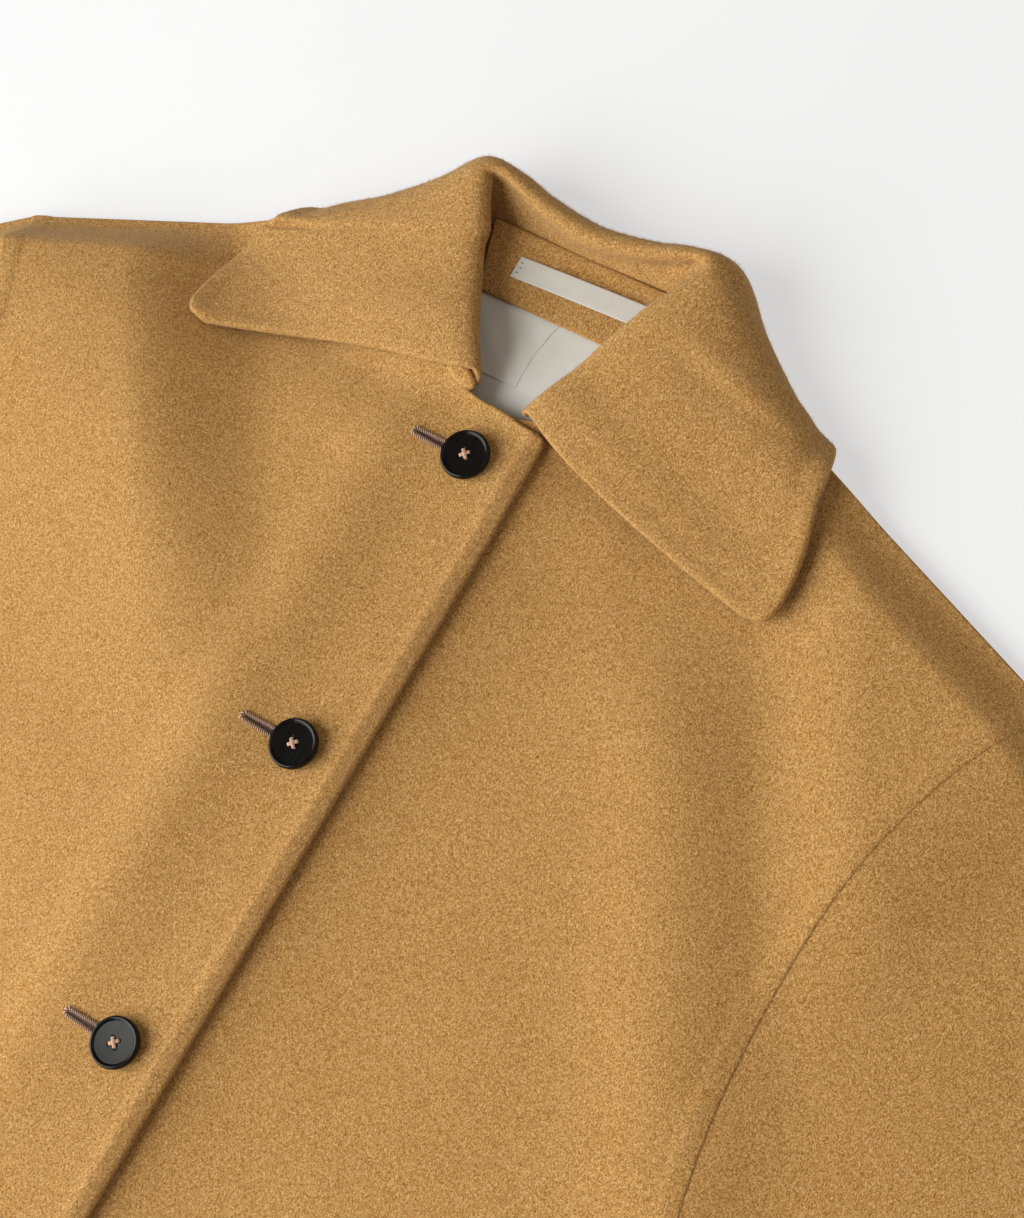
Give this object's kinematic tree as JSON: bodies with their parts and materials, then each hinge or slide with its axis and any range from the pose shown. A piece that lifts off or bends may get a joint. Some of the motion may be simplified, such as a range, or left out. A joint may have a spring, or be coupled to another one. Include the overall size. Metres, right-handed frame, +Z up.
{
  "type": "coat",
  "caption": "Brushed wool coat laid flat and buttoned, with a large pointed collar folded down, dropped shoulders, satin lining and a hanger tape inside the neck",
  "frame": {"origin": "Middle of the laid coat's footprint, on the surface it lies on", "axes": "+Z up from that surface, +Y from hem to collar, +X towards the wearer's left"},
  "size_m": [1.4272, 0.9814, 0.0393],
  "materials": {
    "wool": "brushed camel wool",
    "lining": "grey beige satin",
    "tape": "matt woven tape",
    "button": "polished black"
  },
  "bodies": {
    "root": {"back": "wool", "front_left": "wool", "front_right": "wool", "top_sleeve_left": "wool", "top_sleeve_right": "wool", "under_sleeve_left": "wool", "under_sleeve_right": "wool", "collar": "wool", "back_neck_facing": "wool", "lining_body": "lining", "lining_yoke_left": "lining", "lining_yoke_right": "lining", "hanger_tape": "tape", "button_1": "button", "button_2": "button", "button_3": "button", "button_4": "button"}
  },
  "joints": []
}
